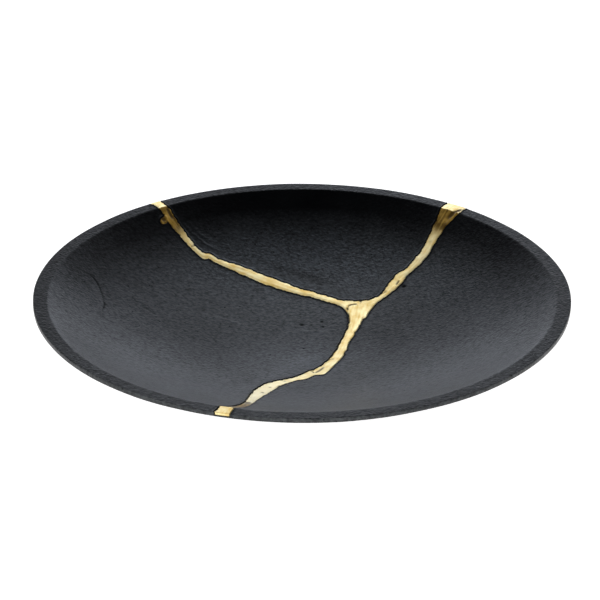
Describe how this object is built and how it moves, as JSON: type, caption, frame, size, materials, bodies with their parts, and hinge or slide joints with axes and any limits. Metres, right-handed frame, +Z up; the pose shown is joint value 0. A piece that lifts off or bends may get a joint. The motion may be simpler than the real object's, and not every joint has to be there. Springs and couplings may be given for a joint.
{
  "type": "decorative bowl",
  "caption": "Shallow round cast bowl with a flat rim, and a gold mended seam in three arms over its inside and rim; stands on a flat base.",
  "frame": {"origin": "middle of the flat underside, on the surface that the bowl stands on", "axes": "+Z up, along the axis that the bowl is turned about; +X to the right and -Y to the front, where one arm of the seam crosses the rim"},
  "size_m": [0.4, 0.4, 0.054],
  "materials": {
    "black_cast_aluminium": "sand-cast surface with a matt black coat",
    "gold_inlay": "hand-laid, uneven, satin gold colour"
  },
  "bodies": {
    "root": {"bowl_body": "black_cast_aluminium", "gold_seam": "gold_inlay"}
  },
  "joints": []
}
